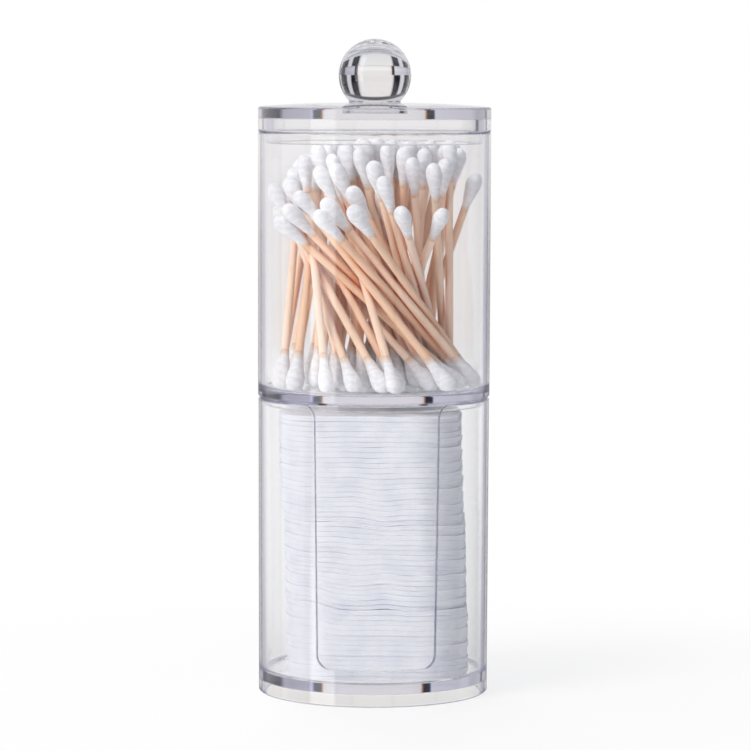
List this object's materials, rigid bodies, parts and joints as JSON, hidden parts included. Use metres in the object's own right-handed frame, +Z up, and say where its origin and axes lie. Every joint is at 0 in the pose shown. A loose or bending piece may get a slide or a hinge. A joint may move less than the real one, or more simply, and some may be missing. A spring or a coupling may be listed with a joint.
{
  "type": "cotton pad and swab holder",
  "caption": "Clear two-tier round canister with a lidded swab jar over a slotted pad dispenser, filled with cotton swabs and pads.",
  "frame": {"origin": "centre of the foot ring's underside", "axes": "+Z up through the tiers and the knob, -Y out through the middle of the dispensing slot, +X to the right as seen from the slot"},
  "size_m": [0.07, 0.07, 0.1966],
  "materials": {
    "clear_polystyrene": "clear, moulded, glossy",
    "clear_polystyrene_knob": "clear, solid moulded ball, glossy",
    "cotton_pad": "pressed cotton wadding, matt",
    "birch_stick": "bare turned birch, matt",
    "cotton_bud": "wound cotton, matt"
  },
  "bodies": {
    "lower_tier": {"lower_canister": "clear_polystyrene", "cotton_pads_lower": "cotton_pad", "cotton_pads_middle": "cotton_pad", "cotton_pads_upper": "cotton_pad"},
    "upper_tier": {"upper_canister": "clear_polystyrene", "swab_sticks": "birch_stick", "swab_buds_lower": "cotton_bud", "swab_buds_upper": "cotton_bud"},
    "lid_and_knob": {"lid": "clear_polystyrene", "knob": "clear_polystyrene_knob"}
  },
  "joints": [
    {"name": "upper_tier_lift", "type": "slide", "parent": "lower_tier", "child": "upper_tier", "axis": [0, 0, 1], "range_m": [0, 0.04]},
    {"name": "lid_lift", "type": "slide", "parent": "upper_tier", "child": "lid_and_knob", "axis": [0, 0, 1], "range_m": [0, 0.04]}
  ]
}
